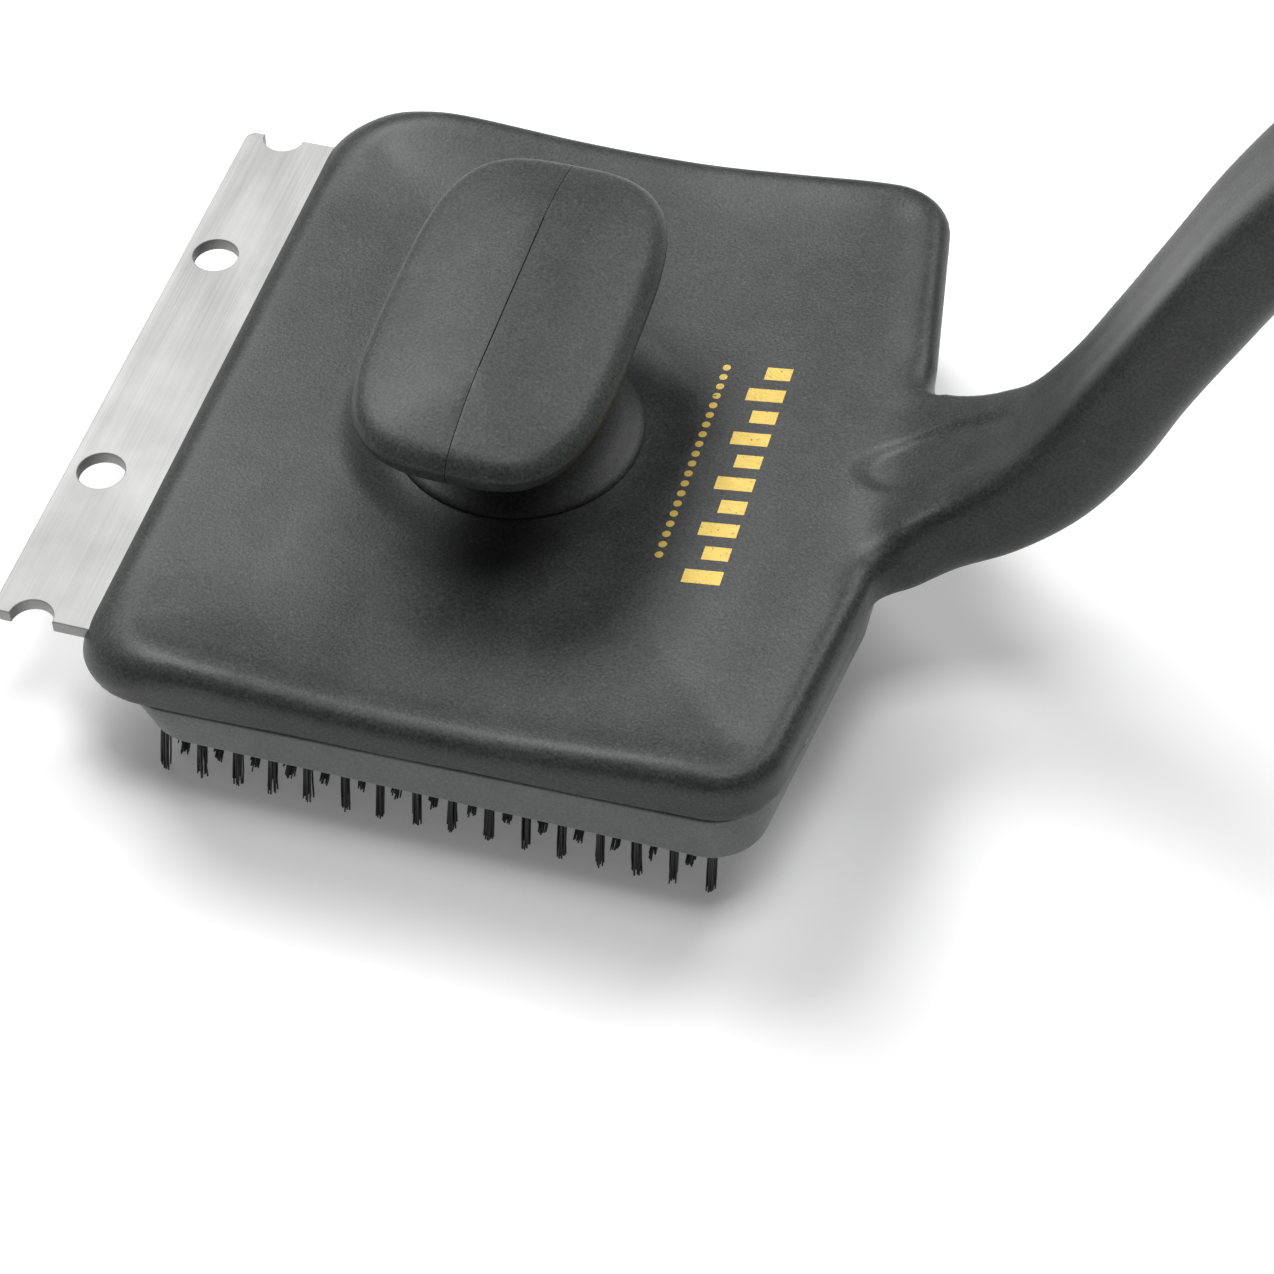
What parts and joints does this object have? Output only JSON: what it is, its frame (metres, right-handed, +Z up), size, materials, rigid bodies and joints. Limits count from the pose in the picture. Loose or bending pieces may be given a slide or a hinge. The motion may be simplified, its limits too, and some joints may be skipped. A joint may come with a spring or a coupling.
{
  "type": "grill cleaning brush",
  "caption": "Grill cleaning brush: wide dished head with black nylon tufts, a notched stainless scraper at the front, a palm knob on top and a rising curved handle.",
  "frame": {"origin": "tip of the middle tuft, on the brush's middle plane at the level it rests on, under the middle of the head", "axes": "+X from the scraper towards the handle's free end, +Y across the head, +Z up from the bristle tips to the cover"},
  "size_m": [0.3751, 0.158, 0.1949],
  "materials": {
    "cover_plastic": "matte black with a fine moulded grain",
    "block_plastic": "satin dark grey",
    "knob_plastic": "soft matte black",
    "scraper_steel": "brushed along the edge",
    "screw_steel": "zinc plated",
    "bristle_nylon": "stiff black filament"
  },
  "bodies": {
    "root": {"cover_and_handle": "cover_plastic", "bristle_block": "block_plastic", "scraper_blade": "scraper_steel", "knob_stem": "knob_plastic", "knob_front_half": "knob_plastic", "knob_rear_half": "knob_plastic", "knob_screw": "screw_steel", "knob_washer": "screw_steel", "block_screw_near": "screw_steel", "block_screw_far": "screw_steel", "tuft_row_01": "bristle_nylon", "tuft_row_02": "bristle_nylon", "tuft_row_03": "bristle_nylon", "tuft_row_04": "bristle_nylon", "tuft_row_05": "bristle_nylon", "tuft_row_06": "bristle_nylon", "tuft_row_07": "bristle_nylon", "tuft_row_08": "bristle_nylon", "tuft_row_09": "bristle_nylon", "tuft_row_10": "bristle_nylon", "tuft_row_11": "bristle_nylon", "tuft_row_12": "bristle_nylon", "tuft_row_13": "bristle_nylon", "tuft_row_14": "bristle_nylon", "tuft_row_15": "bristle_nylon", "tuft_row_16": "bristle_nylon", "tuft_row_17": "bristle_nylon", "tuft_row_18": "bristle_nylon", "tuft_row_19": "bristle_nylon", "tuft_row_20": "bristle_nylon", "tuft_row_21": "bristle_nylon", "tuft_row_22": "bristle_nylon", "tuft_row_23": "bristle_nylon"}
  },
  "joints": []
}
